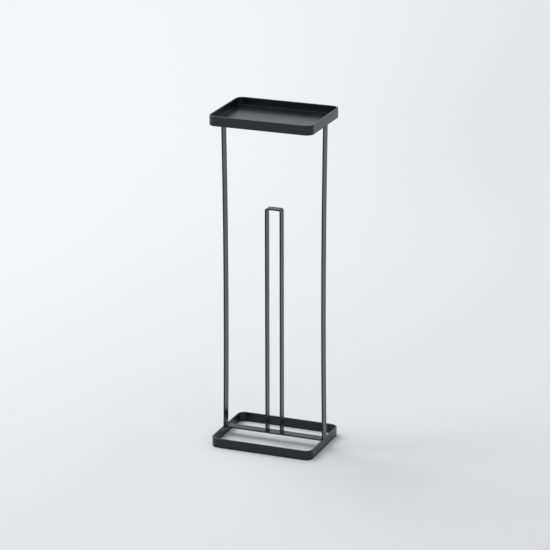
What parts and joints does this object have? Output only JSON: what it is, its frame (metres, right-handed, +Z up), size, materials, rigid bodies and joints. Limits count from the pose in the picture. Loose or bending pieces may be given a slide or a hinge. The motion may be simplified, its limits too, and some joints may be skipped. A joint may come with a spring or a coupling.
{
  "type": "toilet paper holder with tray",
  "caption": "Free-standing roll holder of black flat steel bar: rounded base ring, slim side legs, central U-shaped roll post and a shallow tray on top.",
  "frame": {"origin": "on the floor, under the middle of the base ring's outline", "axes": "+Z up along the legs, -Y towards the front, +X to the right as seen from the front"},
  "size_m": [0.165, 0.122, 0.524],
  "materials": {
    "powder_coat": "fine matte to satin black powder coat on steel",
    "coated_weld": "matte black powder coat over a weld bead"
  },
  "bodies": {
    "root": {"base_ring": "powder_coat", "base_seam_weld": "coated_weld", "cross_strip": "powder_coat", "strip_weld_left": "coated_weld", "strip_weld_right": "coated_weld", "leg_left": "powder_coat", "leg_right": "powder_coat", "foot_weld_left": "coated_weld", "foot_weld_right": "coated_weld", "roll_post": "powder_coat", "post_weld_left": "coated_weld", "post_weld_right": "coated_weld", "tray_rim": "powder_coat", "tray_seam_weld": "coated_weld", "tray_floor": "powder_coat", "top_weld_left": "coated_weld", "top_weld_right": "coated_weld", "floor_tack_front_left": "coated_weld", "floor_tack_front_middle": "coated_weld", "floor_tack_front_right": "coated_weld", "floor_tack_back_left": "coated_weld", "floor_tack_back_middle": "coated_weld", "floor_tack_back_right": "coated_weld"}
  },
  "joints": []
}
